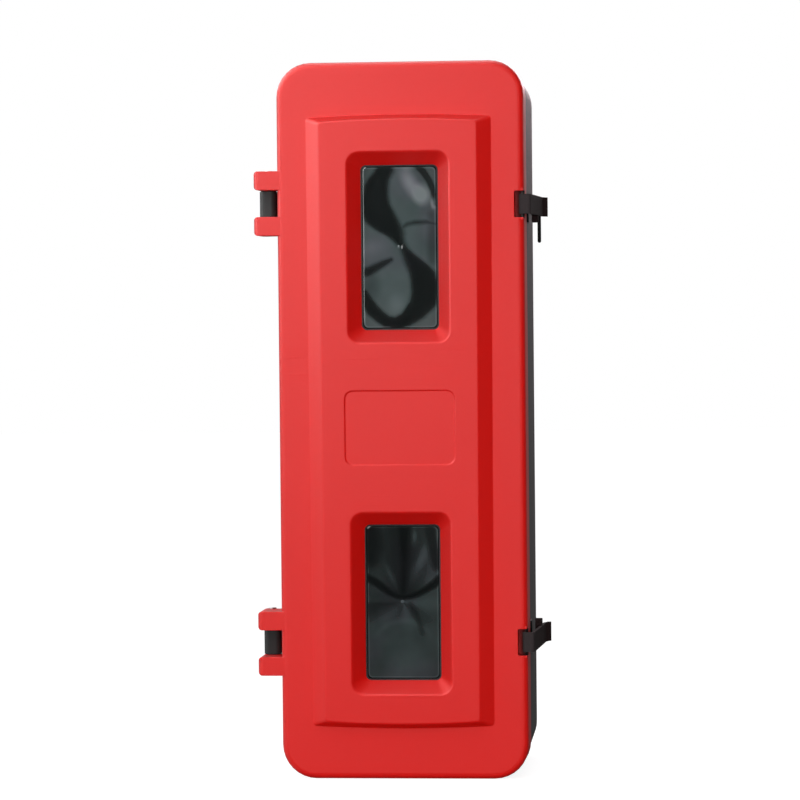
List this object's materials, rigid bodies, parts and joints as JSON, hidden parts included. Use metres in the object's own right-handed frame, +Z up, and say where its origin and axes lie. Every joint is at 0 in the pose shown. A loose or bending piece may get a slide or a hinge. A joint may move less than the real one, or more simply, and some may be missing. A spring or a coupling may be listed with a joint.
{
  "type": "fire extinguisher cabinet",
  "caption": "Moulded fire extinguisher cabinet: black tub with a flat back for wall bolts, and a red side-hinged door with sunken windows, lug hinges and lever latches.",
  "frame": {"origin": "centre of the flat back of the tub, which is also the centre of the four bolt holes", "axes": "+Z up along the cabinet's height, +Y out of the back towards the wall, -Y out of the door, +X to the latch side"},
  "size_m": [0.3371, 0.25, 0.84],
  "materials": {
    "red_plastic": "satin moulded",
    "tub_plastic": "satin moulded",
    "black_plastic": "satin moulded",
    "seal_rubber": "matte",
    "pane_plastic": "clear, glossy",
    "pin_steel": "zinc plated"
  },
  "bodies": {
    "cabinet": {"tub_shell": "tub_plastic", "rim_seal": "seal_rubber", "hinge_bracket_upper": "black_plastic", "hinge_bracket_lower": "black_plastic", "hinge_pin_upper": "pin_steel", "hinge_pin_lower": "pin_steel", "catch_upper": "black_plastic", "catch_lower": "black_plastic"},
    "door": {"door_shell": "red_plastic", "window_gasket_upper": "seal_rubber", "window_gasket_lower": "seal_rubber", "window_pane_upper": "pane_plastic", "window_pane_lower": "pane_plastic", "pane_frame_upper": "black_plastic", "pane_frame_lower": "black_plastic", "latch_pin_upper": "pin_steel", "latch_pin_lower": "pin_steel"},
    "latch_upper": {"latch_lever_upper": "black_plastic", "seal_tail": "black_plastic"},
    "latch_lower": {"latch_lever_lower": "black_plastic"}
  },
  "joints": [
    {"name": "door_hinge", "type": "hinge", "parent": "cabinet", "child": "door", "pos_m": [-0.16, -0.195, 0], "axis": [0, 0, -1], "range_deg": [0, 175]},
    {"name": "latch_upper_pivot", "type": "hinge", "parent": "door", "child": "latch_upper", "pos_m": [0.1432, -0.231, 0.252], "axis": [0, 0, -1], "range_deg": [0, 90]},
    {"name": "latch_lower_pivot", "type": "hinge", "parent": "door", "child": "latch_lower", "pos_m": [0.1432, -0.231, -0.2595], "axis": [0, 0, -1], "range_deg": [0, 90]}
  ]
}
